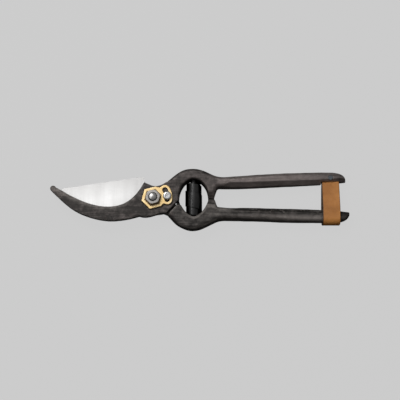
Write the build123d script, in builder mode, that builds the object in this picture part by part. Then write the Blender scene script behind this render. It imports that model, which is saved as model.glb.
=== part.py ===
"""Forged bypass pruning shears with a volute spring, a brass lock plate and a leather strap.

Frame: origin on the pivot axis at the resting plane, +X towards the handle ends, +Y towards the
handle that belongs to the hook, +Z up through the pivot nut. The shears are closed and strapped.
"""

import math
import os

from build123d import *

# ---- driving dimensions (mm) ----
# layers through the pivot, from the resting plane up
bolt_head_height = 1.8
washer_thickness = 0.4
plate_thickness = 2.5
blade_thickness = 3.0
blade_play = 0.05
front_face = 12.0
mid_height = front_face / 2
plate_back = bolt_head_height + washer_thickness
blade_back = plate_back + plate_thickness
blade_front = blade_back + blade_thickness
hook_back = blade_front + blade_play

# pivot bolt, washer and nut
bolt_head_radius = 7.0
journal_radius = 4.5
key_flats = 7.0
thread_radius = 3.0
running_clearance = 0.05
washer_radius = 6.6
nut_across_flats = 8.8
nut_height = 5.0
nut_cone = 2.9
nut_face_radius = 4.6
nut_turn = 15.0
bolt_end = front_face + nut_height + 1.2

# lock plate and its screw
lock_across_flats = 14.0
lock_thickness = 1.5
lock_recess = 0.8
lock_recess_margin = 0.8
lock_bevel = 0.3
lock_slot_radius = 9.5
lock_slot_start = -7.2
lock_slot_sweep = 40.5
lock_slot_width = 3.6
lock_lobe_width = 7.0
lock_neck = ((2.0, 7.4), (4.7, 6.95), (7.6, 7.6), (9.4, -1.0), (8.6, -4.0), (6.9, -4.2), (5.6, -5.5))
lock_screw_angle = 7.0
lock_screw_radius = 1.5
lock_screw_depth = 3.5
lock_head_radius = 2.85
lock_head_height = 1.9

# bows, oval opening and pivot boss
opening_centre = 27.0
opening_half_length = 9.7
opening_half_height = 13.1
opening_lower_height = 12.2
opening_lower_power = 1.25
opening_step = 15
opening_chamfer = 0.9
opening_lower_flare = 1.8
bow_clear_radius = 15.6
boss_radius = 10.4
boss_top = 7.0
seam_angle = 47.5
seam_hook_side = 13.25
seam_bow_side = 14.6
seam_foot = -1.4
seam_shoulder = 7.5
seam_head = 11.2
carrier_foot_side = 13.8
carrier_head_side = 13.4
carrier_shoulder_side = 12.9
carrier_inner_side = 11.0
carrier_shoulder = 7.9
carrier_head = 10.6
stop_gap = 0.1
lug_depth = 3.0
upper_lug_slope = 4.4
lower_lug_slope = 6.2

# handles
handle_rounding = 2.6
handle_taper_start = 46.0
handle_taper_end = 132.0
handle_taper = 3.2

# cutting blade
bevel_width = 7.0
edge_land = 0.4
grind_line = -10.8
grind_depth = 0.12
blade_seam_side = 13.0
blade_seam_foot = -0.6
blade_seam_head = 6.5
blade_boss_radius = 4.2

# blade rivets
rivet_radius = 1.5
rivet_head_radius = 2.3
rivet_head_height = 0.8
rivet_places = ((-12.8, -2.6), (10.1, -4.4))

# volute spring and its pegs
spring_end = 12.2
spring_seat_radius = 4.6
spring_seat = 12.4
spring_bore = 2.9
spring_bands = ((-12.2, 3.7), (-10.9, 4.5), (-6.4, 5.5), (4.4, 4.5), (10.7, 3.7))
peg_radius = 2.2
peg_clearance = 0.02
peg_inner = 9.4
peg_outer = 16.6

# leather strap, its mortise in the upper handle and its pin
strap_thickness = 1.2
strap_left = 112.6
strap_right = 124.4
strap_half_depth = 5.8
strap_top = 16.2
strap_mouth = 12.0
strap_shoulder = -6.0
strap_bottom = -17.2
mortise_gap = 0.1
mortise_side_gap = 0.3
strap_pin_x = 118.5
strap_pin_y = 14.3
strap_pin_radius = 1.25
strap_pin_head_radius = 1.7
strap_pin_head_depth = 0.3

os.makedirs("parts", exist_ok=True)


def polar(radius, degrees):
    """The point at a radius and an angle round the pivot."""
    return (radius * math.cos(math.radians(degrees)), radius * math.sin(math.radians(degrees)))


def on_seam(distance, along):
    """The point at a distance square to the seam, seen from the pivot, and at a distance along it."""
    turn = math.radians(seam_angle)
    return (
        distance * math.sin(turn) + along * math.cos(turn),
        along * math.sin(turn) - distance * math.cos(turn),
    )


def handle_height(x):
    """How far the handle's back face stands above the resting plane at a place along it."""
    share = (x - handle_taper_start) / (handle_taper_end - handle_taper_start)
    return handle_taper * share * share


def opening_face(flare, lower_flare):
    """The oval between the bows, widened by a flare all round and by another at its lower end."""
    half_length = opening_half_length + flare
    rim = []
    for turn in range(0, 360, opening_step):
        across, along = polar(1, turn)
        if along < 0:
            across = math.copysign(abs(across) ** opening_lower_power, across)
            along = -(abs(along) ** opening_lower_power) * (opening_lower_height + lower_flare)
        else:
            along *= opening_half_height + flare
        rim.append((opening_centre + half_length * across, along))
    with BuildSketch() as face:
        with BuildLine():
            Spline(*rim, periodic=True)
        make_face()
    return face.sketch


def long_rims(forging):
    """The long curved edges round the front and back of a forging's bow and handle."""
    flat = forging.edges().filter_by(lambda edge: edge.bounding_box().size.Z < handle_taper + 0.2)
    return flat.filter_by(
        lambda edge: edge.center().X > 118 or (edge.length > 12.5 and abs(edge.center().Y) > 2)
    )


def save(piece, name):
    """Labels a finished piece and writes it as its own STEP file."""
    piece.label = name
    export_step(piece, f"parts/{name}.step")


# ---- cutters shared by the two forgings ----
# space in front of and behind a handle, where it tapers towards its end
with BuildPart() as taper_cut:
    with BuildSketch(Plane.XZ.offset(-40)):
        for face, side in ((front_face, 1), (0, -1)):
            end_height = face - side * handle_taper
            with BuildLine():
                slope = TangentArc(
                    (handle_taper_start, face), (handle_taper_end, end_height), tangent=(1, 0)
                )
                Polyline(
                    slope @ 1, (handle_taper_end, face + side * 8), (handle_taper_start, face + side * 8),
                    slope @ 0,
                )
            make_face()
    extrude(amount=80)

# oval room for the spring, chamfered at the front and back, with a flat seat at each end
with BuildPart() as opening_cut:
    with BuildSketch(Plane.XY):
        add(opening_face(0, 0))
    extrude(amount=front_face)
    with BuildSketch(Plane.XZ):
        with Locations((opening_centre, mid_height)):
            Circle(spring_seat_radius)
    extrude(amount=spring_seat, both=True)
    for face, towards in ((front_face, -1), (0, 1)):
        for depth, share in ((0, 1), (opening_chamfer, 0)):
            with BuildSketch(Plane.XY.offset(face + towards * depth)):
                add(opening_face(share * opening_chamfer, share * opening_lower_flare))
        loft()

# sloping front of the two stop lugs
with BuildPart() as lug_cut:
    with BuildSketch(Plane.YZ.offset(34)):
        Polygon(
            (upper_lug_slope, front_face), (0, front_face - lug_depth), (-lower_lug_slope, front_face),
            (0, front_face + lug_depth),
            align=None,
        )
    extrude(amount=12)

# ---- hook and upper handle, one forging ----
with BuildPart() as hook_handle:
    # thick half: bow, stop lug and handle
    with BuildSketch(Plane.XY):
        with BuildLine():
            grip_top = ThreePointArc((50.0, 14.8), (85.0, 17.2), (119.9, 18.4))
            bow = Spline(
                (8.6, 10.9), (13.6, 15.1), (19.0, 18.8), (26.5, 20.35), (34.0, 18.8), (41.0, 15.6),
                grip_top @ 0,
                tangents=[(1, 0.9), grip_top % 0],
            )
            end = EllipticalCenterArc((119.9, 13.1), 8.8, 5.3, start_angle=0, arc_size=90)
            blunt = Line(end @ 0, (128.7, 11.6))
            grip_under = Spline(
                blunt @ 1, (112.0, 10.15), (90.0, 9.2), (70.0, 8.3), (50.0, 7.75),
                tangents=[(-1, -0.1), (-1, 0)],
            )
            throat = Line(grip_under @ 1, (44.0, 7.75))
            crook = TangentArc(throat @ 1, (42.64, 6.88), tangent=(-1, 0))
            lug = Spline(crook @ 1, (41.6, 4.1), (40.7, 0.6), tangents=[crook % 1, (-0.1, -1)])
            Polyline(
                lug @ 1, (40.5, stop_gap), (26.0, stop_gap), on_seam(seam_hook_side, seam_head),
                on_seam(seam_hook_side, seam_shoulder), (14.2, 5.0), bow @ 0,
            )
        make_face()
    extrude(amount=front_face)
    add(taper_cut.part, mode=Mode.SUBTRACT)
    fillet(long_rims(hook_handle), handle_rounding)
    # room for the blade's boss, behind the hook plate
    with BuildSketch(Plane.XY):
        Circle(bow_clear_radius)
    extrude(amount=hook_back, mode=Mode.SUBTRACT)
    # flat plate: hook, pivot boss and saddle
    with BuildSketch(Plane.XY.offset(hook_back)):
        with BuildLine():
            anvil = Spline(
                (-64.9, 7.4), (-54.3, 1.5), (-42.0, -3.75), (-29.5, -5.6), (-18.6, -3.1), (-10.7, 3.6),
                (-6.0, 11.0),
            )
            saddle = Spline(
                anvil @ 1, (-3.4, 9.6), (0.5, 8.2), (4.8, 8.8), (8.6, 10.9),
                tangents=[(1, -0.9), (1, 0.9)],
            )
            Polyline(
                saddle @ 1, (18.0, 14.0), (26.0, 8.0), (26.0, 0.0),
                on_seam(seam_hook_side, seam_head), on_seam(seam_hook_side, seam_foot),
            )
            boss = Spline(
                on_seam(seam_hook_side, seam_foot), (4.5, -10.4), (0.5, -11.7), (-4.0, -12.7),
                (-9.0, -12.1),
            )
            back = Spline(
                boss @ 1, (-18.0, -14.3), (-29.0, -15.2), (-41.6, -12.9), (-52.0, -8.4), (-62.0, -0.5),
                (-67.7, 5.0),
            )
            ThreePointArc(back @ 1, (-68.4, 7.3), anvil @ 0)
        make_face()
    extrude(amount=front_face - hook_back)
    add(opening_cut.part, mode=Mode.SUBTRACT)
    add(lug_cut.part, mode=Mode.SUBTRACT)
    # keyed hole for the pivot bolt and threaded hole for the lock screw
    with BuildSketch(Plane.XY.offset(hook_back)):
        Circle(journal_radius + running_clearance)
        Rectangle(4 * journal_radius, key_flats + 2 * running_clearance, mode=Mode.INTERSECT)
    extrude(amount=front_face - hook_back, mode=Mode.SUBTRACT)
    with BuildSketch(Plane.XY.offset(front_face)):
        with Locations(polar(lock_slot_radius, lock_screw_angle)):
            Circle(lock_screw_radius)
    extrude(amount=-lock_screw_depth, mode=Mode.SUBTRACT)
    # drilled seat for the spring peg
    with BuildSketch(Plane.XZ):
        with Locations((opening_centre, mid_height)):
            Circle(peg_radius + peg_clearance)
    extrude(amount=-peg_outer, mode=Mode.SUBTRACT)
    # notch and mortise for the strap, with a hole for its pin
    mortise_centre = (strap_left + strap_right) / 2
    mortise_length = strap_right - strap_left + 2 * mortise_side_gap
    with Locations((mortise_centre, strap_mouth, mid_height)):
        Box(
            mortise_length, strap_mouth, front_face,
            align=(Align.CENTER, Align.MAX, Align.CENTER), mode=Mode.SUBTRACT,
        )
        Box(
            mortise_length, strap_top - strap_mouth + mortise_gap,
            2 * (strap_thickness + mortise_gap),
            align=(Align.CENTER, Align.MIN, Align.CENTER), mode=Mode.SUBTRACT,
        )
    pin_height = handle_height(strap_pin_x)
    with Locations((strap_pin_x, strap_pin_y, mid_height)):
        Cylinder(strap_pin_radius, front_face, mode=Mode.SUBTRACT)
    pin_span = front_face - 2 * (pin_height + strap_pin_head_depth)
    for turn in (0, 180):
        with Locations(Location((strap_pin_x, strap_pin_y, mid_height), (turn, 0, 0))):
            with Locations((0, 0, pin_span / 2)):
                Cylinder(
                    strap_pin_head_radius, mid_height,
                    align=(Align.CENTER, Align.CENTER, Align.MIN), mode=Mode.SUBTRACT,
                )
save(hook_handle.part, "hook_handle")

# ---- lower handle: bow, stop lug, handle and the thin plate round the pivot ----
with BuildPart() as lower_handle:
    with BuildSketch(Plane.XY):
        with BuildLine():
            grip_under = Spline(
                (50.0, -14.0), (74.0, -14.6), (98.0, -15.5), (122.3, -15.65), tangents=[(1, 0), (1, 0)],
            )
            bow = Spline(
                on_seam(seam_bow_side, seam_foot), (13.6, -15.0), (19.0, -18.9), (26.5, -20.8),
                (34.0, -18.9), (41.0, -15.4), grip_under @ 0,
                tangents=[(1, -0.9), grip_under % 0],
            )
            end = EllipticalCenterArc((122.3, -9.9), 8.6, 5.75, start_angle=0, arc_size=-90)
            blunt = Line(end @ 0, (130.9, -8.7))
            grip_top = Spline(
                blunt @ 1, (108.0, -7.1), (84.0, -6.6), (60.0, -6.15), tangents=[(-1, 0.15), (-1, 0.01)],
            )
            throat = Spline(
                grip_top @ 1, (54.5, -6.35), (48.5, -6.2), (43.2, -5.62),
                tangents=[grip_top % 1, (-1, 0.15)],
            )
            crook = TangentArc(throat @ 1, (42.645, -5.166), tangent=throat % 1)
            lug = PolarLine(crook @ 1, 5.0, direction=crook % 1)
            Polyline(
                lug @ 1, (40.5, -stop_gap), (26.0, -stop_gap), (19.0, -4.6),
                on_seam(seam_bow_side, seam_shoulder), bow @ 0,
            )
        make_face()
    extrude(amount=front_face)
    add(taper_cut.part, mode=Mode.SUBTRACT)
    fillet(long_rims(lower_handle), handle_rounding)
    # thin plate that carries the blade
    with BuildSketch(Plane.XY.offset(plate_back)):
        Circle(boss_radius)
        with Locations(rivet_places[0]):
            Circle(blade_boss_radius)
        make_hull()
        Polygon(
            (3.0, -9.6), (6.4, -9.2), on_seam(carrier_foot_side, seam_foot), (17.0, -13.0),
            (20.0, -8.0), (20.0, -1.4), on_seam(carrier_head_side, carrier_head),
            on_seam(carrier_head_side, carrier_shoulder),
            on_seam(carrier_shoulder_side, carrier_shoulder),
            on_seam(carrier_inner_side, carrier_shoulder), (9.5, 3.0), (0, 0),
            align=None,
        )
        with Locations((0, boss_top)):
            Rectangle(60, 20, align=(Align.CENTER, Align.MIN), mode=Mode.SUBTRACT)
    extrude(amount=plate_thickness)
    add(opening_cut.part, mode=Mode.SUBTRACT)
    add(lug_cut.part, mode=Mode.SUBTRACT)
    with BuildSketch(Plane.XY.offset(plate_back)):
        Circle(journal_radius + running_clearance)
        with Locations(*rivet_places):
            Circle(rivet_radius)
    extrude(amount=plate_thickness, mode=Mode.SUBTRACT)
    with BuildSketch(Plane.XZ):
        with Locations((opening_centre, mid_height)):
            Circle(peg_radius + peg_clearance)
    extrude(amount=peg_outer, mode=Mode.SUBTRACT)
save(lower_handle.part, "lower_handle")

# ---- cutting blade ----
with BuildPart() as cutting_blade:
    with BuildSketch(Plane.XY.offset(blade_back)):
        with BuildLine():
            spine = Polyline((-61.3, 6.2), (-60.3, 7.4), (-6.8, 15.4), (-4.6, 9.3))
            heel = Spline(spine @ 1, (-1.8, boss_top), tangents=[spine % 1, (1, 0)])
            top = Line(heel @ 1, (5.5, boss_top))
            tail = ThreePointArc(top @ 1, (9.8, 2.0), (12.9, -4.0))
            seam_end = on_seam(blade_seam_side, blade_seam_foot)
            Polyline(tail @ 1, on_seam(blade_seam_side, blade_seam_head), seam_end)
            heel_back = ThreePointArc(seam_end, (0, -boss_radius), (-8.5, -8.6))
            edge_line = Spline(
                heel_back @ 1, (-18.0, -8.5), (-30.0, -7.9), (-42.0, -5.1), (-52.0, -0.4), spine @ 0,
            )
        make_face()
    extrude(amount=blade_thickness)
    # long bevel on the back, down to the cutting edge
    back_face = cutting_blade.faces().sort_by(Axis.Z)[0]
    chamfer(
        back_face.edges().filter_by(GeomType.BSPLINE).sort_by(SortBy.LENGTH)[-1],
        length=bevel_width, length2=blade_thickness - edge_land, reference=back_face,
    )
    # ground front face, a little lower than the flat round the pivot
    with BuildSketch(Plane.XY.offset(blade_front)):
        with Locations((grind_line, 0)):
            Rectangle(80, 60, align=(Align.MAX, Align.CENTER))
    extrude(amount=-grind_depth, mode=Mode.SUBTRACT)
    with BuildSketch(Plane.XY.offset(blade_back)):
        Circle(journal_radius + running_clearance)
        with Locations(*rivet_places):
            Circle(rivet_radius)
    extrude(amount=blade_thickness, mode=Mode.SUBTRACT)
save(cutting_blade.part, "cutting_blade")

# ---- two rivets that hold the blade on its handle, flush at the front, domed at the back ----
with BuildPart() as blade_rivets:
    for place in rivet_places:
        with BuildSketch(Plane.XY.offset(plate_back)):
            with Locations(place):
                Circle(rivet_radius)
        extrude(amount=blade_front - plate_back)
        with BuildSketch(Plane.XY.offset(plate_back)):
            with Locations(place):
                Circle(rivet_head_radius)
        extrude(amount=-rivet_head_height, taper=30)
save(blade_rivets.part, "blade_rivets")

# ---- pivot bolt: round head at the back, journal, keyed neck and threaded end ----
with BuildPart() as pivot_bolt:
    with BuildSketch(Plane.XY):
        Circle(bolt_head_radius)
    extrude(amount=bolt_head_height)
    chamfer(pivot_bolt.faces().sort_by(Axis.Z)[0].edges(), 0.5)
    with BuildSketch(Plane.XY.offset(bolt_head_height)):
        Circle(journal_radius)
    extrude(amount=hook_back - bolt_head_height)
    with BuildSketch(Plane.XY.offset(hook_back)):
        Circle(journal_radius)
        Rectangle(4 * journal_radius, key_flats, mode=Mode.INTERSECT)
    extrude(amount=front_face - hook_back - 0.2)
    with BuildSketch(Plane.XY.offset(front_face - 0.2)):
        Circle(thread_radius)
    extrude(amount=bolt_end - front_face + 0.2)
    chamfer(pivot_bolt.faces().sort_by(Axis.Z)[-1].edges(), 0.6)
save(pivot_bolt.part, "pivot_bolt")

# ---- brass washer between the bolt head and the lower handle ----
with BuildPart() as pivot_washer:
    with BuildSketch(Plane.XY.offset(bolt_head_height)):
        Circle(washer_radius)
        Circle(journal_radius + running_clearance, mode=Mode.SUBTRACT)
    extrude(amount=washer_thickness)
save(pivot_washer.part, "pivot_washer")

# ---- hexagon nut, chamfered at the front ----
with BuildPart() as pivot_nut:
    with BuildSketch(Plane.XY.offset(front_face)):
        RegularPolygon(nut_across_flats / 2, 6, major_radius=False, rotation=nut_turn)
    extrude(amount=nut_height)
    with BuildSketch(Plane.XZ):
        with BuildLine():
            Polyline(
                (0, front_face), (nut_across_flats, front_face),
                (nut_across_flats, front_face + nut_height - nut_cone),
                (nut_face_radius, front_face + nut_height),
                (0, front_face + nut_height), close=True,
            )
        make_face()
    revolve(axis=Axis.Z, mode=Mode.INTERSECT)
    with BuildSketch(Plane.XY.offset(front_face)):
        Circle(thread_radius + running_clearance)
    extrude(amount=nut_height, mode=Mode.SUBTRACT)
save(pivot_nut.part, "pivot_nut")

# ---- brass lock plate: hexagon round the nut and a lobe with an arc slot ----
with BuildPart() as lock_plate:
    slot_path = CenterArc((0, 0), lock_slot_radius, lock_slot_start, lock_slot_sweep)
    with BuildSketch(Plane.XY.offset(front_face)):
        RegularPolygon(lock_across_flats / 2, 6, major_radius=False, rotation=nut_turn)
        SlotArc(slot_path, lock_lobe_width)
        Polygon(*lock_neck, align=None)
    extrude(amount=lock_thickness)
    chamfer(lock_plate.faces().sort_by(Axis.Z)[-1].edges(), lock_bevel)
    with BuildSketch(Plane.XY.offset(front_face)):
        RegularPolygon(nut_across_flats / 2 + 0.1, 6, major_radius=False, rotation=nut_turn)
        SlotArc(slot_path, lock_slot_width)
    extrude(amount=lock_thickness, mode=Mode.SUBTRACT)
    with BuildSketch(Plane.XY.offset(front_face + lock_thickness)):
        recess_radius = nut_across_flats / 2 + lock_recess_margin
        RegularPolygon(recess_radius, 6, major_radius=False, rotation=nut_turn)
    extrude(amount=-lock_recess, mode=Mode.SUBTRACT)
save(lock_plate.part, "lock_plate")

# ---- pan-head lock screw with a cross recess ----
with BuildPart() as lock_screw:
    screw_base = Plane.XY.offset(front_face + lock_thickness + 0.03)
    screw_base.origin += Vector(*polar(lock_slot_radius, lock_screw_angle))
    with BuildSketch(screw_base):
        Circle(lock_head_radius)
    extrude(amount=lock_head_height)
    fillet(lock_screw.faces().sort_by(Axis.Z)[-1].edges(), 1.1)
    with BuildSketch(screw_base):
        Circle(lock_screw_radius)
    extrude(amount=-(lock_thickness + lock_screw_depth))
    with BuildSketch(screw_base.offset(lock_head_height)):
        for turn in (30, 120):
            Rectangle(3.0, 0.7, rotation=turn)
    extrude(amount=-1.1, mode=Mode.SUBTRACT)
save(lock_screw.part, "lock_screw")

# ---- spring pegs, pressed into the bows ----
for side, name in ((1, "upper_spring_peg"), (-1, "lower_spring_peg")):
    with BuildPart() as peg:
        with BuildSketch(Plane.XZ.offset(-side * peg_inner)):
            with Locations((opening_centre, mid_height)):
                Circle(peg_radius)
        extrude(amount=-side * (peg_outer - peg_inner))
        chamfer(peg.faces().sort_by(Axis.Y)[0 if side > 0 else -1].edges(), 0.5)
    save(peg.part, name)

# ---- volute spring: telescoped bands of flat strip round a hollow middle ----
with BuildPart() as volute_spring:
    with BuildSketch(Plane.XY.offset(mid_height)):
        with BuildLine():
            outline = [(opening_centre + spring_bore, -spring_end)]
            tops = [start for start, radius in spring_bands[1:]] + [spring_end]
            for (start, radius), top_end in zip(spring_bands, tops):
                outline.append((opening_centre + radius, start))
                outline.append((opening_centre + radius, top_end))
            outline.append((opening_centre + spring_bore, spring_end))
            Polyline(outline, close=True)
        make_face()
    revolve(axis=Axis((opening_centre, 0, mid_height), (0, 1, 0)))
save(volute_spring.part, "volute_spring")

# ---- leather strap: one loop round the lower handle, its ends pinned in the mortise ----
with BuildPart() as leather_strap:
    with BuildSketch(Plane.YZ.offset(strap_left)):
        front = mid_height + strap_half_depth
        back = mid_height - strap_half_depth
        with BuildLine():
            FilletPolyline(
                (strap_top, mid_height + strap_thickness), (strap_mouth, mid_height + strap_thickness),
                (strap_shoulder, front), (strap_bottom, front), (strap_bottom, back),
                (strap_shoulder, back), (strap_mouth, mid_height - strap_thickness),
                (strap_top, mid_height - strap_thickness),
                radius=4.0,
            )
            Line((strap_top, mid_height - strap_thickness), (strap_top, mid_height + strap_thickness))
        make_face()
        with BuildLine():
            FilletPolyline(
                (strap_mouth - 0.4, mid_height), (strap_shoulder + 0.2, front - strap_thickness),
                (strap_bottom + strap_thickness, front - strap_thickness),
                (strap_bottom + strap_thickness, back + strap_thickness),
                (strap_shoulder + 0.2, back + strap_thickness), (strap_mouth - 0.4, mid_height),
                radius=2.6,
            )
        make_face(mode=Mode.SUBTRACT)
    extrude(amount=strap_right - strap_left)
    with Locations((strap_pin_x, strap_pin_y, mid_height)):
        Cylinder(strap_pin_radius + running_clearance, front_face, mode=Mode.SUBTRACT)
save(leather_strap.part, "leather_strap")

# ---- strap pin through the upper handle, a low head at each end ----
with BuildPart() as strap_pin:
    with Locations((strap_pin_x, strap_pin_y, mid_height)):
        Cylinder(strap_pin_radius, pin_span)
        Cylinder(strap_pin_head_radius, pin_span + 2 * strap_pin_head_depth + 0.3)
        Cylinder(strap_pin_head_radius, pin_span, mode=Mode.SUBTRACT)
        Cylinder(strap_pin_radius, pin_span)
    chamfer(strap_pin.faces().sort_by(Axis.Z)[0].edges(), 0.25)
    chamfer(strap_pin.faces().sort_by(Axis.Z)[-1].edges(), 0.25)
save(strap_pin.part, "strap_pin")
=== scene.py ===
"""Looks of the pruning shears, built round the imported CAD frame. Lengths are in metres."""

import math

import bmesh
import bpy
import numpy as np
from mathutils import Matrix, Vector, noise


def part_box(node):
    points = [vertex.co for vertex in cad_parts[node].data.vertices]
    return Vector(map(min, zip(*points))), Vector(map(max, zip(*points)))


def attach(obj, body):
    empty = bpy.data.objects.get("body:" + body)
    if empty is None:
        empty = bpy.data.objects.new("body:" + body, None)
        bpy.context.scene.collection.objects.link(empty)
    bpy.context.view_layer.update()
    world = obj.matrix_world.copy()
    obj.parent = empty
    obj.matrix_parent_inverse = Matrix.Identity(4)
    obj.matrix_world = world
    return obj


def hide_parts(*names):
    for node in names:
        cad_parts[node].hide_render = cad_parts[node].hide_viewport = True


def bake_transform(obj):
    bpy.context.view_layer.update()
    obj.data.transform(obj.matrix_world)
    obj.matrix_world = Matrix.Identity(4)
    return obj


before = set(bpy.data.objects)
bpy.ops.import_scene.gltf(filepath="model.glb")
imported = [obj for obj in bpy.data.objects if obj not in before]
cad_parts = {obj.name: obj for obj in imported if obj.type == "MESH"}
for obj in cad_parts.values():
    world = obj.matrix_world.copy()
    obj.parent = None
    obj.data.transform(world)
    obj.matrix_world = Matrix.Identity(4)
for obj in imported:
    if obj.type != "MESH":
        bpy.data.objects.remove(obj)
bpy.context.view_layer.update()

MM = 0.001

# places read from the frame
nut_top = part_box("pivot_nut")[1].z
blade_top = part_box("cutting_blade")[1].y
spring_low, spring_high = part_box("volute_spring")
spring_middle = (spring_low + spring_high) / 2
strap_low, strap_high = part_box("leather_strap")
plate_low, plate_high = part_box("lock_plate")
front_face = plate_low.z

# points along the hook's inner edge, from its tip to the upper bow, in millimetres
HOOK_EDGE = (
    (-64.9, 7.4), (-59.8, 4.4), (-54.3, 1.5), (-48.2, -1.5), (-42.0, -3.75), (-35.8, -5.1),
    (-29.5, -5.6), (-23.8, -5.0), (-18.6, -3.1), (-14.2, 0.0), (-10.7, 3.6), (-8.2, 7.2), (-6.0, 11.0),
)
# the rubbed part of the seam on the lower bow's face, in millimetres
SEAM = ((9.7, -10.9), (15.8, -4.4))
# how steeply the blade's spine falls towards its tip
BLADE_SLOPE = 0.15

# sizes of the cubes that the softened copies are built from
FORGING_VOXEL = 0.36 * MM
BOLT_VOXEL = 0.14 * MM
STRAP_VOXEL = 0.25 * MM


# ---- mesh helpers ----
def new_object(name, mesh):
    """Links a new object that holds a mesh."""
    piece = bpy.data.objects.new(name, mesh)
    bpy.context.scene.collection.objects.link(piece)
    return piece


def apply_modifiers(piece):
    """Applies an object's modifiers to its mesh."""
    graph = bpy.context.evaluated_depsgraph_get()
    mesh = bpy.data.meshes.new_from_object(piece.evaluated_get(graph), depsgraph=graph)
    old = piece.data
    piece.modifiers.clear()
    piece.data = mesh
    bpy.data.meshes.remove(old)


def bare_copy(node, name):
    """A plain copy of a CAD node, without its materials."""
    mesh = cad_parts[node].data.copy()
    mesh.materials.clear()
    return new_object(name, mesh)


def softened_copy(node, name, voxel, rounds):
    """A remeshed copy of a CAD node, softened in a number of rounds, that stands for it."""
    piece = bare_copy(node, name)
    remesh = piece.modifiers.new("remesh", "REMESH")
    remesh.mode = "VOXEL"
    remesh.voxel_size = voxel
    smooth = piece.modifiers.new("smooth", "SMOOTH")
    smooth.factor = 0.5
    smooth.iterations = rounds
    apply_modifiers(piece)
    shade_smooth(piece)
    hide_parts(node)
    return piece


def bevelled_copy(node, name, width):
    """A copy of a CAD node with its sharp edges broken, that stands for it."""
    piece = bare_copy(node, name)
    shade_smooth(piece)
    weld = piece.modifiers.new("weld", "WELD")
    weld.merge_threshold = 0.002 * MM
    flatten = piece.modifiers.new("flatten", "DECIMATE")
    flatten.decimate_type = "DISSOLVE"
    flatten.angle_limit = math.radians(0.5)
    bevel = piece.modifiers.new("bevel", "BEVEL")
    bevel.width = width
    bevel.segments = 2
    bevel.angle_limit = math.radians(28)
    weighted = piece.modifiers.new("weighted", "WEIGHTED_NORMAL")
    weighted.weight = 100
    apply_modifiers(piece)
    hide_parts(node)
    return piece


def shade_smooth(piece):
    """Shades a mesh as one smooth surface."""
    piece.data.polygons.foreach_set("use_smooth", [True] * len(piece.data.polygons))


def points_of(piece):
    """A mesh's points as an array."""
    points = np.zeros(len(piece.data.vertices) * 3)
    piece.data.vertices.foreach_get("co", points)
    return points.reshape(-1, 3)


def set_points(piece, points):
    """Moves a mesh's points to new places."""
    piece.data.vertices.foreach_set("co", points.ravel())
    piece.data.update()


def normals_of(piece):
    """The normals at a mesh's points, as an array."""
    normals = np.zeros(len(piece.data.vertices) * 3)
    piece.data.vertices.foreach_get("normal", normals)
    return normals.reshape(-1, 3)


def store(piece, name, shares):
    """Stores a share for each point of a mesh."""
    layer = piece.data.attributes.new(name, "FLOAT", "POINT")
    layer.data.foreach_set("value", np.clip(shares, 0, 1))


def rising(values, start, run):
    """A share that grows from 0 at a start to 1 a run further on."""
    return np.clip((values - start) / run, 0, 1)


def falling(values, end, run):
    """A share of 1 that shrinks, over a run, to 0 at an end."""
    return np.clip((end - values) / run, 0, 1)


def skinned(name, rings):
    """A closed mesh over rings of points, capped at both ends."""
    count = len(rings[0])
    points = [tuple(point) for ring in rings for point in ring]
    faces = []
    for first in range(0, (len(rings) - 1) * count, count):
        for j in range(count):
            beside = (j + 1) % count
            faces.append((first + j, first + beside, first + count + beside, first + count + j))
    faces.append(tuple(reversed(range(count))))
    faces.append(tuple(range(len(points) - count, len(points))))
    mesh = bpy.data.meshes.new(name)
    mesh.from_pydata(points, [], faces)
    mesh.validate()
    piece = new_object(name, mesh)
    work = bmesh.new()
    work.from_mesh(mesh)
    bmesh.ops.recalc_face_normals(work, faces=work.faces)
    work.to_mesh(mesh)
    work.free()
    shade_smooth(piece)
    mesh.set_sharp_from_angle(angle=math.radians(30))
    return piece


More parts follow.
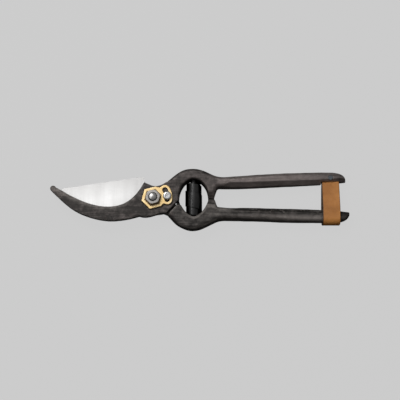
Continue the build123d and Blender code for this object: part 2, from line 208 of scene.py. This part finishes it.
# ---- material helpers ----
class Look:
    """A procedural material, built up node by node."""

    def __init__(self, name):
        self.material = bpy.data.materials.new(name)
        self.material.use_nodes = True
        self.nodes = self.material.node_tree.nodes
        self.links = self.material.node_tree.links
        self.shader = self.nodes["Principled BSDF"]
        self.place = self.nodes.new("ShaderNodeTexCoord").outputs["Object"]

    def plug(self, source, target):
        """Links a socket to another, or sets it to a value."""
        if isinstance(source, (int, float, tuple)):
            target.default_value = source
        else:
            self.links.new(source, target)

    def mapped(self, scale, turn=0.0):
        """Object coordinates, scaled and then turned about the vertical."""
        node = self.nodes.new("ShaderNodeMapping")
        node.inputs["Scale"].default_value = scale
        node.inputs["Rotation"].default_value = (0, 0, turn)
        self.links.new(self.place, node.inputs["Vector"])
        return node.outputs["Vector"]

    def noise(self, scale, detail, rough, vector=None, distort=0):
        """Cloudy noise."""
        node = self.nodes.new("ShaderNodeTexNoise")
        node.inputs["Scale"].default_value = scale
        node.inputs["Detail"].default_value = detail
        node.inputs["Roughness"].default_value = rough
        node.inputs["Distortion"].default_value = distort
        self.links.new(vector or self.place, node.inputs["Vector"])
        return node.outputs["Fac"]

    def cells(self, scale, vector=None):
        """The distance to the nearest of scattered points."""
        node = self.nodes.new("ShaderNodeTexVoronoi")
        node.inputs["Scale"].default_value = scale
        self.links.new(vector or self.place, node.inputs["Vector"])
        return node.outputs["Distance"]

    def span(self, value, low, high, out_low=0.0, out_high=1.0):
        """A value carried from one range to another, held at both ends."""
        node = self.nodes.new("ShaderNodeMapRange")
        node.inputs["From Min"].default_value = low
        node.inputs["From Max"].default_value = high
        node.inputs["To Min"].default_value = out_low
        node.inputs["To Max"].default_value = out_high
        self.plug(value, node.inputs["Value"])
        return node.outputs["Result"]

    def math(self, kind, a, b):
        """A calculation with two values."""
        node = self.nodes.new("ShaderNodeMath")
        node.operation = kind
        self.plug(a, node.inputs[0])
        self.plug(b, node.inputs[1])
        return node.outputs[0]

    def total(self, *pairs):
        """The sum of values, each times its weight."""
        shares = [self.math("MULTIPLY", value, weight) for value, weight in pairs]
        result = shares[0]
        for share in shares[1:]:
            result = self.math("ADD", result, share)
        return result

    def mix(self, factor, a, b):
        """A colour between two others."""
        node = self.nodes.new("ShaderNodeMix")
        node.data_type = "RGBA"
        self.plug(factor, node.inputs["Factor"])
        self.plug(a, node.inputs["A"])
        self.plug(b, node.inputs["B"])
        return node.outputs["Result"]

    def cover(self, colour, other, share, amount):
        """A colour with another laid over it, up to an amount where the share is 1."""
        return self.mix(self.math("MULTIPLY", share, amount), colour, other)

    def axis(self, letter):
        """One of the object coordinates."""
        node = self.nodes.new("ShaderNodeSeparateXYZ")
        self.links.new(self.place, node.inputs[0])
        return node.outputs[letter]

    def edges(self, low, high):
        """How sharply the surface stands out: 0 on flat faces, 1 on edges that wear."""
        geometry = self.nodes.new("ShaderNodeNewGeometry")
        return self.span(geometry.outputs["Pointiness"], low, high)

    def stored(self, name):
        """A share stored on the mesh's points."""
        node = self.nodes.new("ShaderNodeAttribute")
        node.attribute_name = name
        return node.outputs["Fac"]

    def bump(self, height, strength, distance):
        """A surface made uneven by a height."""
        node = self.nodes.new("ShaderNodeBump")
        node.inputs["Strength"].default_value = strength
        node.inputs["Distance"].default_value = distance
        self.plug(height, node.inputs["Height"])
        return node.outputs["Normal"]

    def finish(self, colour, rough, normal, metal):
        """Plugs the results into the shader and gives the material."""
        self.plug(colour, self.shader.inputs["Base Color"])
        self.plug(rough, self.shader.inputs["Roughness"])
        self.plug(metal, self.shader.inputs["Metallic"])
        self.links.new(normal, self.shader.inputs["Normal"])
        return self.material


def grey(level, warm=0.0):
    """A grey of a level in linear light, a little warmer when asked."""
    return (level * (1 + warm), level, level * (1 - warm), 1.0)


# ---- materials ----
def forged_look(name, dark, light, streak_turn, bump):
    """Scale-blackened forged steel, hammered, mottled and rubbed bright along its edges, with painted
    highlight lines and painted shade laid on from stored shares.
    """
    look = Look(name)
    mottle = look.noise(330, detail=6, rough=0.62)
    blotch = look.noise(75, detail=3, rough=0.5, distort=0.6)
    streaks = look.noise(170, detail=5, rough=0.65, vector=look.mapped((0.3, 5.0, 1.0), streak_turn))
    pits = look.span(look.cells(1100), 0.0, 0.4)
    # The rubbed share also carries a painted highlight band below the middle of the lower handle's grip.
    tone = look.total((mottle, 0.4), (blotch, 0.35), (streaks, 0.35), (look.stored("rubbed"), 0.35))
    colour = look.mix(look.span(tone, 0.52, 1.0), dark, light)
    rust = look.span(look.noise(140, detail=5, rough=0.6, distort=0.5), 0.55, 0.75)
    colour = look.cover(colour, (0.055, 0.034, 0.025, 1), rust, 0.3)
    patches = look.span(look.noise(200, detail=4, rough=0.6), 0.35, 0.65)
    worn_edges = look.math("MULTIPLY", look.edges(0.515, 0.58), patches)
    # Stored share: ground and rubbed steel, plus painted highlights along the lower front rims and on the
    # lower bow's inner lip.
    worn_and_highlit_lines = look.math("MULTIPLY", look.stored("ground"), look.span(mottle, 0.3, 0.6, 0.4, 1.0))
    worn = look.math("MAXIMUM", worn_edges, worn_and_highlit_lines)
    colour = look.cover(colour, (0.21, 0.19, 0.175, 1), worn, 0.85)
    # Near-black laid over thick scale at the lower handle's end, and as painted shade on the walls of the
    # oval opening.
    colour = look.mix(look.stored("scale_and_shade"), colour, (0.012, 0.0105, 0.009, 1))
    rough = look.span(tone, 0.35, 0.8, 0.58, 0.42)
    height = look.total((mottle, 0.6), (streaks, 0.5), (pits, 0.25))
    return look.finish(colour, rough, look.bump(height, bump, 0.6 * MM), metal=0.55)


def blade_look():
    """Bright ground steel, with fine grinding lines across the blade, a little darker towards the spine."""
    look = Look("ground_steel")
    lines = look.noise(500, detail=4, rough=0.7, vector=look.mapped((9.0, 0.12, 1.0), math.radians(4)))
    broad = look.noise(55, detail=3, rough=0.5, vector=look.mapped((1.6, 0.3, 1.0)))
    stains = look.span(look.noise(90, detail=5, rough=0.6, distort=0.8), 0.58, 0.8)
    tone = look.total((lines, 0.4), (broad, 0.6))
    colour = look.mix(look.span(tone, 0.35, 0.7), grey(0.57, 0.010), grey(0.72, 0.006))
    below_slope = look.total((look.axis("X"), BLADE_SLOPE), (look.axis("Y"), -1.0))
    near_spine = look.span(below_slope, -blade_top, 10 * MM - blade_top, 1.0, 0.0)
    colour = look.cover(colour, grey(0.50, 0.010), near_spine, 0.9)
    colour = look.cover(colour, (0.42, 0.39, 0.35, 1), stains, 0.12)
    rough = look.span(tone, 0.3, 0.7, 0.55, 0.45)
    return look.finish(colour, rough, look.bump(lines, 0.25, 0.15 * MM), metal=1.0)


def plain_metal(name, dark, light, rough, wear, bump=0.12, shade_height=None):
    """Machined metal with small tone changes and brighter edges, with painted brown shade below a given
    height.
    """
    look = Look(name)
    fine = look.noise(1400, detail=4, rough=0.6)
    broad = look.noise(240, detail=4, rough=0.55)
    colour = look.mix(look.span(broad, 0.35, 0.7), dark, light)
    colour = look.cover(colour, wear, look.edges(0.53, 0.66), 0.55)
    if shade_height is not None:
        # painted shade: dark brown below the height
        recess_shade = look.span(look.axis("Z"), shade_height, shade_height + 0.3 * MM, 0.8, 0.0)
        colour = look.mix(recess_shade, colour, (0.10, 0.055, 0.03, 1))
    uneven = look.bump(look.math("ADD", fine, broad), bump, 0.2 * MM)
    return look.finish(colour, look.span(fine, 0.3, 0.7, *rough), uneven, metal=1.0)


def leather_look():
    """Tan full-grain leather: pores and creases, darker along worn edges and where it was cut, with painted
    shade on the loop's inner face.
    """
    look = Look("tan_leather")
    pores = look.cells(1500, look.mapped((1.0, 0.8, 1.0)))
    wrinkle = look.noise(420, detail=6, rough=0.65, vector=look.mapped((1.6, 0.7, 1.0)))
    blotch = look.noise(110, detail=4, rough=0.5, distort=0.4)
    colour = look.mix(look.span(blotch, 0.35, 0.7), (0.38, 0.145, 0.026, 1), (0.54, 0.225, 0.052, 1))
    colour = look.cover(colour, (0.22, 0.09, 0.035, 1), look.span(pores, 0.05, 0.3, 1.0, 0.0), 0.25)
    colour = look.cover(colour, (0.17, 0.08, 0.035, 1), look.edges(0.54, 0.66), 0.6)
    # dark cut edges, with painted shade on the inner face and the widened left edge
    colour = look.mix(look.stored("cut"), colour, (0.035, 0.016, 0.006, 1))
    height = look.total((look.span(pores, 0.0, 0.5), 1.0), (wrinkle, 0.8))
    rough = look.span(wrinkle, 0.3, 0.7, 0.62, 0.5)
    return look.finish(colour, rough, look.bump(height, 0.35, 0.3 * MM), metal=0.0)


def floor_look():
    """A pale sheet, evenly lit from below like a light table, with a faint paper grain."""
    look = Look("pale_floor")
    paper = look.noise(800, detail=3, rough=0.5)
    look.shader.inputs["Specular IOR Level"].default_value = 0.0
    look.shader.inputs["Emission Strength"].default_value = 1.0
    look.plug(look.mix(paper, grey(0.585), grey(0.592)), look.shader.inputs["Emission Color"])
    return look.finish(grey(0.02), 0.9, look.bump(paper, 0.05, 0.2 * MM), metal=0.0)


hook_steel = forged_look(
    "forged_hook", (0.023, 0.0195, 0.0175, 1), (0.235, 0.198, 0.188, 1),
    streak_turn=math.radians(4), bump=0.45,
)
handle_steel = forged_look(
    "forged_handle", (0.021, 0.0185, 0.0165, 1), (0.225, 0.200, 0.185, 1),
    streak_turn=math.radians(3), bump=0.85,
)
blade_steel = blade_look()
bolt_steel = plain_metal(
    "bolt_steel", grey(0.27, 0.02), grey(0.44, 0.02), rough=(0.24, 0.36), wear=grey(0.6, 0.02),
)
nut_steel = plain_metal(
    "nut_steel", grey(0.26, 0.06), grey(0.42, 0.05), rough=(0.28, 0.4), wear=grey(0.6, 0.02), bump=0.02,
)
screw_nickel = plain_metal(
    "screw_nickel", grey(0.60), grey(0.78), rough=(0.2, 0.35), wear=grey(0.9), bump=0.02,
)
# the lock plate gets painted shade in its recess and down its sides
brass = plain_metal(
    "pressed_brass", (0.76, 0.53, 0.235, 1), (0.90, 0.70, 0.39, 1), rough=(0.3, 0.4),
    wear=(0.98, 0.84, 0.58, 1), bump=0.012, shade_height=plate_high.z - 0.6 * MM,
)
pin_steel = plain_metal(
    "pin_steel", (0.075, 0.085, 0.095, 1), (0.13, 0.145, 0.16, 1), rough=(0.35, 0.5), wear=grey(0.2),
)
peg_steel = plain_metal("peg_black", grey(0.02), grey(0.04), rough=(0.4, 0.55), wear=grey(0.06))
spring_steel = plain_metal(
    "spring_black", grey(0.02), grey(0.045), rough=(0.15, 0.22), wear=grey(0.12), bump=0.06,
)
leather = leather_look()


# ---- shaping, wear, painted highlight and painted shade that both forgings share ----
def at_front(points, depth):
    """Which points lie within a depth of the forgings' front face."""
    return points[:, 2] > front_face - depth


def rim_highlight_and_wear(piece, first, last, lean, spread):
    """A share for a line along the lower front edge, where the face leans at a given angle, between two
    places: a painted highlight there, with some edge wear.
    """
    points, normals = points_of(piece), normals_of(piece)
    worn = falling(np.abs(normals[:, 2] - lean), end=spread, run=spread) * (normals[:, 1] < 0)
    return worn * (points[:, 0] > first) * (points[:, 0] < last) * at_front(points, depth=3 * MM)


def opening_shade(piece):
    """A share of painted shade on the walls of the oval opening."""
    points, normals = points_of(piece), normals_of(piece)
    opening_reach = 11.5 * MM
    opening_squash = 0.75
    away = points[:, 0] - spring_middle.x
    inward = away * normals[:, 0] + points[:, 1] * normals[:, 1] < 0
    near = np.hypot(away, points[:, 1] * opening_squash) < opening_reach
    steep = falling(normals[:, 2], end=0.75, run=0.2)
    return inward * near * steep * 0.8


def distance_to_line(points, line):
    """How far points lie from a line of straight runs, seen along the pivot."""
    best = np.full(len(points), 1.0)
    for start, end in zip(line[:-1], line[1:]):
        start = np.array(start) * MM
        run = np.array(end) * MM - start
        share = np.clip(((points[:, :2] - start) @ run) / (run @ run), 0, 1)
        best = np.minimum(best, np.linalg.norm(points[:, :2] - start - share[:, None] * run, axis=1))
    return best


def wave(points, scale, offset=0.0):
    """Smooth noise, from -1 to 1, at each point."""
    return np.array([noise.noise(Vector(point) * scale + Vector((offset, 0, 0))) for point in points])


def hammered(piece, amount, still):
    """Moves a forging's surface in and out a little, except near the pivot's flat faces."""
    points = points_of(piece)
    broad_dents, small_dents = wave(points, 95), wave(points, 260, offset=3.0)
    offsets = broad_dents * 0.6 + small_dents * 0.4
    free = rising(np.hypot(points[:, 0], points[:, 1]), start=still, run=6 * MM)
    back_of_pivot = (points[:, 2] < front_face - 4 * MM) & (points[:, 0] < 17 * MM)
    free[back_of_pivot] = 0
    set_points(piece, points + normals_of(piece) * (offsets * free * amount)[:, None])


def across(points):
    """How far up its handle each point stands, from 0 at the lower side to 1 at the upper."""
    shares = np.zeros(len(points))
    slots = np.round(points[:, 0] / MM).astype(int)
    for slot in range(slots.min(), slots.max() + 1):
        here = np.abs(slots - slot) <= 1
        mine = slots == slot
        if mine.any():
            under, over = points[here, 1].min(), points[here, 1].max()
            shares[mine] = (points[mine, 1] - under) / (over - under)
    return shares


def faceted(piece, start, low_facet, high_facet, bridge=None):
    """Hammers the front corners of a handle into flats, bridging a stretch with a notch in it."""
    points = points_of(piece)
    slots = np.round(points[:, 0] / MM).astype(int)
    places, limits = [], []
    for slot in range(int(start / MM), slots.max() + 1):
        here = np.abs(slots - slot) <= 1
        notched = bridge and bridge[0] < slot * MM < bridge[1]
        if here.any() and not notched:
            places.append(slot)
            limits.append((points[here, 1].min(), points[here, 1].max(), points[here, 2].max()))
    limits = np.array(limits)
    under, over, front = (np.interp(points[:, 0] / MM, places, limits[:, i]) for i in range(3))
    ease = rising(points[:, 0], start, run=8 * MM)
    for edge, facet, side in ((under, low_facet, 1), (over, high_facet, -1)):
        from_corner = side * (points[:, 1] - edge) + front - points[:, 2]
        move = np.clip(facet * ease - from_corner, 0, None) / 2 * (ease > 0)
        points[:, 1] += side * move
        points[:, 2] -= move
    set_points(piece, points)


# ---- hook, upper bow and upper handle ----
def ground_edge(piece):
    """Grinds a small bevel along the hook's inner edge and gives the share of the bright band there."""
    bevel_width, bevel_depth = 1.6 * MM, 0.35 * MM
    band_width = 4 * MM
    points = points_of(piece)
    from_edge = distance_to_line(points, HOOK_EDGE)
    band = falling(from_edge, band_width, band_width) * at_front(points, depth=1.5 * MM)
    bevel = falling(from_edge, bevel_width, bevel_width) * at_front(points, depth=1 * MM)
    points[:, 2] -= bevel * bevel_depth
    set_points(piece, points)
    towards_tip = falling(points[:, 0], end=-4 * MM, run=45 * MM)
    return band**2 * np.maximum(towards_tip, 0.1)


def hook_rubbing(points):
    """How far the hook's scale is rubbed off: most on the grip, but not along its top edge."""
    places = np.array((-70, -30, 0, 14, 30, 44, 54, 110, 125)) * MM
    rubbed = np.interp(points[:, 0], places, (0.12, -0.3, 0.08, 0.2, 0.22, 0.35, 1.08, 0.98, 0.45))
    on_grip = rising(points[:, 0], start=46 * MM, run=8 * MM)
    top_edge = rising(across(points), start=0.8, run=0.15)
    return rubbed - 0.4 * on_grip * top_edge


hook = softened_copy("hook_handle", "hook_forging", FORGING_VOXEL, rounds=2)
notch = (strap_low.x - 2 * MM, strap_high.x + 2 * MM)
faceted(hook, start=43 * MM, low_facet=3.0 * MM, high_facet=2.2 * MM, bridge=notch)
hammered(hook, amount=0.13 * MM, still=13 * MM)
bright_band = ground_edge(hook)
# painted highlight along the hook's lower front edge, laid in with the ground band
hook_rim_highlight = rim_highlight_and_wear(hook, first=-56 * MM, last=-18 * MM, lean=0.8, spread=0.18)
store(hook, "ground", np.maximum(bright_band, 0.6 * hook_rim_highlight))
# painted shade on the walls of the oval opening
store(hook, "scale_and_shade", opening_shade(hook))
store(hook, "rubbed", hook_rubbing(points_of(hook)))
hook.data.materials.append(hook_steel)
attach(hook, "hook_side")


# ---- lower bow and lower handle ----
def bow_wear_and_highlight(piece):
    """A share for the lighter parts of the lower bow: its rubbed seam, a painted highlight on its inner lip
    and a painted highlight with some wear along its outer rim.
    """
    points, normals = points_of(piece), normals_of(piece)
    seam_reach = 1.3 * MM
    front = at_front(points, depth=1.2 * MM)
    seam = falling(distance_to_line(points, SEAM), seam_reach, seam_reach) * front
    on_bow = falling(points[:, 0], end=64 * MM, run=18 * MM)
    # painted highlight: the lip's faces that turn towards +Y are laid lighter
    lip = on_bow * front * rising(normals[:, 1], start=0, run=0.4) * (normals[:, 2] > 0.6)
    rim = rim_highlight_and_wear(piece, first=16 * MM, last=42 * MM, lean=0.6, spread=0.34)
    return np.maximum.reduce((0.8 * seam, lip, rim))


def handle_rubbing_and_highlight(points):
    """How far the lower handle's scale is rubbed off along its length, with a painted highlight band below
    the middle of its grip.
    """
    places = np.array((8, 25, 40, 60, 85, 115)) * MM
    rubbed = np.interp(points[:, 0], places, (0.1, 0.0, 0.1, 0.35, 0.85, 1.0))
    on_grip = rising(points[:, 0], start=42 * MM, run=14 * MM)
    # painted highlight: a light band below the middle of the grip, reaching further down than up
    from_ridge = across(points) - 0.31
    ridge_reach = np.where(from_ridge > 0, 0.19, 0.5)
    ridge = np.exp(-((from_ridge / ridge_reach) ** 2))
    return rubbed * (1 - on_grip * (1 - ridge))


def sooty_end(points):
    """A share for the lower handle's end, where scale is thick."""
    return np.minimum(rising(points[:, 0], start=122 * MM, run=4 * MM), 0.75)


lower = softened_copy("lower_handle", "lower_forging", FORGING_VOXEL, rounds=2)
faceted(lower, start=47 * MM, low_facet=1.1 * MM, high_facet=2.8 * MM)
hammered(lower, amount=0.2 * MM, still=15 * MM)
# the seam's wear, and painted highlights on the bow's lip and outer rim
store(lower, "ground", bow_wear_and_highlight(lower))
# rubbed scale along the handle, and a painted highlight band on its grip
store(lower, "rubbed", handle_rubbing_and_highlight(points_of(lower)))
# thick scale at the handle's end, and painted shade on the walls of the oval opening
store(lower, "scale_and_shade", np.maximum(sooty_end(points_of(lower)), opening_shade(lower)))
lower.data.materials.append(handle_steel)
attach(lower, "blade_side")


# ---- cutting blade and small pieces, with their bevels in millimetres ----
for node, name, bevel, material, slot, body in (
    ("cutting_blade", "ground_blade", 0.08, blade_steel, "polished_steel", "blade_side"),
    ("blade_rivets", "rivet_pair", 0.15, bolt_steel, "bolt_steel", "blade_side"),
    ("pivot_washer", "bolt_washer", 0.08, brass, "brass", "hook_side"),
    ("pivot_nut", "hexagon_nut", 0.15, nut_steel, "nut_steel", "nut_side"),
    ("lock_plate", "locking_plate", 0.12, brass, "brass", "nut_side"),
    ("lock_screw", "locking_screw", 0.08, screw_nickel, "screw_nickel", "hook_side"),
    ("strap_pin", "strap_rivet", 0.08, pin_steel, "bolt_steel", "hook_side"),
    ("upper_spring_peg", "upper_peg", 0.15, peg_steel, "bolt_steel", "hook_side"),
    ("lower_spring_peg", "lower_peg", 0.15, peg_steel, "bolt_steel", "blade_side"),
):
    piece = bevelled_copy(node, name, bevel * MM)
    piece.data.materials.append(material)
    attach(piece, body)


# ---- pivot bolt ----
def domed(piece, start, height, radius, drop):
    """Rounds off a bolt's end above a height: a drop that grows along it and towards its radius."""
    points = points_of(piece)
    outward = np.hypot(points[:, 0], points[:, 1]) / radius
    points[:, 2] -= rising(points[:, 2], start, height) * outward**2 * drop
    set_points(piece, points)


bolt = softened_copy("pivot_bolt", "keyed_bolt", BOLT_VOXEL, rounds=5)
domed(bolt, start=nut_top, height=0.8 * MM, radius=3 * MM, drop=0.7 * MM)
bolt.data.materials.append(bolt_steel)
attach(bolt, "hook_side")


# ---- volute spring ----
def strip_section(width, thickness):
    """The outline of a flat strip with broken corners, as places along its width and its thickness."""
    half_width, half_thick = width / 2, thickness / 2
    corner = thickness * 0.3
    return (
        (-half_width + corner, half_thick), (half_width - corner, half_thick),
        (half_width, half_thick - corner), (half_width, corner - half_thick),
        (half_width - corner, -half_thick), (-half_width + corner, -half_thick),
        (-half_width, corner - half_thick), (-half_width, half_thick - corner),
    )


def wound_strip(name, centre, reach, width, thickness, radius, shrinks, turns, pitch, middle):
    """A flat strip wound both ways from its middle, each turn telescoped inside the last."""
    steps_per_turn = 80
    soft_start = 0.2
    steps = round(2 * turns * steps_per_turn)
    section = strip_section(width, thickness)
    rings = []
    for i in range(steps + 1):
        turn = (2 * i / steps - 1) * turns
        side = math.copysign(1, turn)
        rise = reach - width / 2 - side * middle
        climb = middle + side * rise * math.tanh(abs(turn) * pitch / rise) / math.tanh(turns * pitch / rise)
        shrink = shrinks[1] if turn > 0 else shrinks[0]
        inset = shrink * (math.hypot(turn, soft_start) - soft_start) + thickness / 2
        out = Vector((-math.sin(math.tau * turn), 0, math.cos(math.tau * turn)))
        spine = Vector(centre) + Vector((0, climb, 0))
        ring = [
            spine + out * (radius - inset + through) + Vector((0, along, 0)) for along, through in section
        ]
        rings.append(ring)
    return skinned(name, rings)


spring = wound_strip(
    "wound_spring", spring_middle, reach=(spring_high.y - spring_low.y) / 2, width=10.8 * MM,
    thickness=0.7 * MM, radius=5.7 * MM, shrinks=(1.0 * MM, 0.75 * MM), turns=1.9, pitch=6.6 * MM,
    middle=-1.0 * MM,
)
spring.data.materials.append(spring_steel)
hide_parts("volute_spring")
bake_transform(spring)


# ---- leather strap ----
def cut_edges_and_shade(piece):
    """A share for the strap's dark parts: its two cut edges, the left one widened into painted shade, and
    painted shade on its inner face.
    """
    points, facing = points_of(piece), normals_of(piece)
    # the left band is wider than a cut edge: painted shade where the loop's inside shows
    left_edge_and_shade = falling(points[:, 0], end=strap_low.x + 0.75 * MM, run=0.5 * MM)
    right_edge = rising(points[:, 0], start=strap_high.x - 0.35 * MM, run=0.25 * MM)
    middle = (strap_low + strap_high) / 2
    outward = (points[:, 1] - middle.y) * facing[:, 1] + (points[:, 2] - middle.z) * facing[:, 2]
    # painted shade: the loop's inner face is laid dark
    shaded_inner_face = outward < 0
    return np.maximum.reduce((left_edge_and_shade, right_edge, 0.95 * shaded_inner_face))


strap = softened_copy("leather_strap", "keeper_strap", STRAP_VOXEL, rounds=3)
# dark cut edges, and painted shade on the loop's inside
store(strap, "cut", cut_edges_and_shade(strap))
strap.data.materials.append(leather)
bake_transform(strap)


# ---- floor, light and camera ----
def pale_floor(reach):
    """A wide flat sheet just under the shears, that throws no light on them."""
    mesh = bpy.data.meshes.new("pale_floor")
    corners = [(-reach, -reach, 0), (reach, -reach, 0), (reach, reach, 0), (-reach, reach, 0)]
    mesh.from_pydata(corners, [], [(0, 1, 2, 3)])
    sheet = new_object("pale_floor", mesh)
    sheet.location = (0, 0, -0.2 * MM)
    sheet.data.materials.append(floor_look())
    sheet.visible_diffuse = False
    sheet.visible_glossy = False
    return sheet


def area_light(name, place, size, power):
    """A square lamp aimed near the middle of the shears."""
    light = bpy.data.lights.new(name, "AREA")
    light.size = size
    light.energy = power
    lamp = new_object(name, light)
    lamp.location = place
    aim = Vector((30 * MM, 0, 0)) - Vector(place)
    lamp.rotation_euler = aim.to_track_quat("-Z", "Y").to_euler()


def studio_world():
    """Soft white light from above and from +Y, nearly dark below the floor."""
    world = bpy.data.worlds.new("studio")
    bpy.context.scene.world = world
    world.use_nodes = True
    nodes, links = world.node_tree.nodes, world.node_tree.links
    place = nodes.new("ShaderNodeTexCoord")
    split = nodes.new("ShaderNodeSeparateXYZ")
    lean = nodes.new("ShaderNodeMath")
    lean.operation = "MULTIPLY_ADD"
    back_share = 0.55
    lean.inputs[1].default_value = back_share
    ramp = nodes.new("ShaderNodeMapRange")
    ramp.inputs["From Min"].default_value = -0.35
    ramp.inputs["From Max"].default_value = 1.25
    ramp.inputs["To Min"].default_value = 0.02
    ramp.inputs["To Max"].default_value = 0.5
    links.new(place.outputs["Generated"], split.inputs[0])
    links.new(split.outputs["Y"], lean.inputs[0])
    links.new(split.outputs["Z"], lean.inputs[2])
    links.new(lean.outputs[0], ramp.inputs["Value"])
    links.new(ramp.outputs["Result"], nodes["Background"].inputs["Strength"])
    nodes["Background"].inputs["Color"].default_value = (1, 1, 1, 1)


def studio_camera(aim, tilt, distance, view_width, view_depth):
    """A camera above the shears, tilted towards -Y, that sees a given width at a depth below its aim."""
    data = bpy.data.cameras.new("camera")
    data.sensor_width = 36
    data.lens = data.sensor_width * (distance + view_depth) / view_width
    camera = new_object("camera", data)
    camera.location = Vector(aim) + distance * Vector((0, -math.sin(tilt), math.cos(tilt)))
    camera.rotation_euler = (tilt, 0, 0)
    bpy.context.scene.camera = camera


floor = pale_floor(reach=3.0)
studio_world()
area_light("overhead", (-0.28, 0.4, 0.75), size=0.3, power=3.6)
area_light("side", (-0.5, 0.0, 0.8), size=0.3, power=0.8)
studio_camera(
    aim=(31.2 * MM, -2.06 * MM, 15.6 * MM), tilt=math.radians(11), distance=0.79,
    view_width=267.04 * MM, view_depth=8 * MM,
)
bpy.context.scene.view_settings.view_transform = "Standard"
